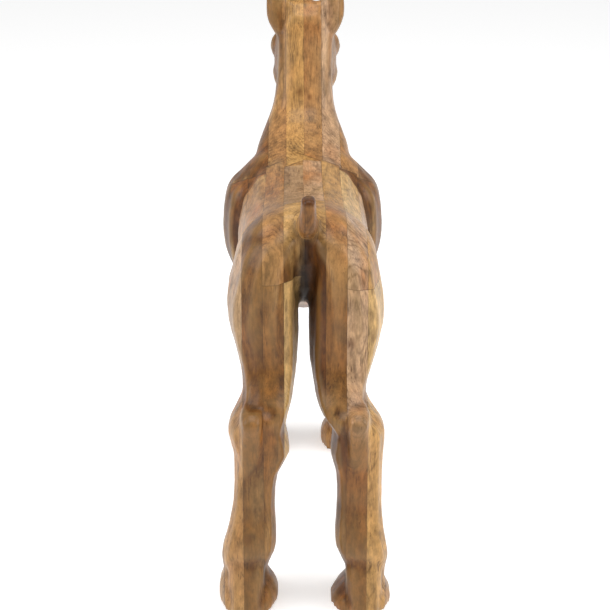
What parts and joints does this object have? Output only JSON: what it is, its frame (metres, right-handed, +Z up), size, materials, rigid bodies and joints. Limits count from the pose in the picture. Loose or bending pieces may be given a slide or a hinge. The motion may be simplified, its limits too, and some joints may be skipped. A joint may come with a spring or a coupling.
{
  "type": "wooden horse figurine",
  "caption": "Standing horse carved from one block of glued-up wooden boards, with a docked tail, upright ears and flat hooves, as a floor or shelf ornament.",
  "frame": {"origin": "on the ground, under the middle of the horse's box", "axes": "+Z up, +Y the way the horse faces, +X to its right"},
  "size_m": [0.2178, 0.7158, 0.671],
  "materials": {
    "laminated_wood": "satin lacquer over carved hardwood boards"
  },
  "bodies": {
    "root": {"carved_horse": "laminated_wood"}
  },
  "joints": []
}
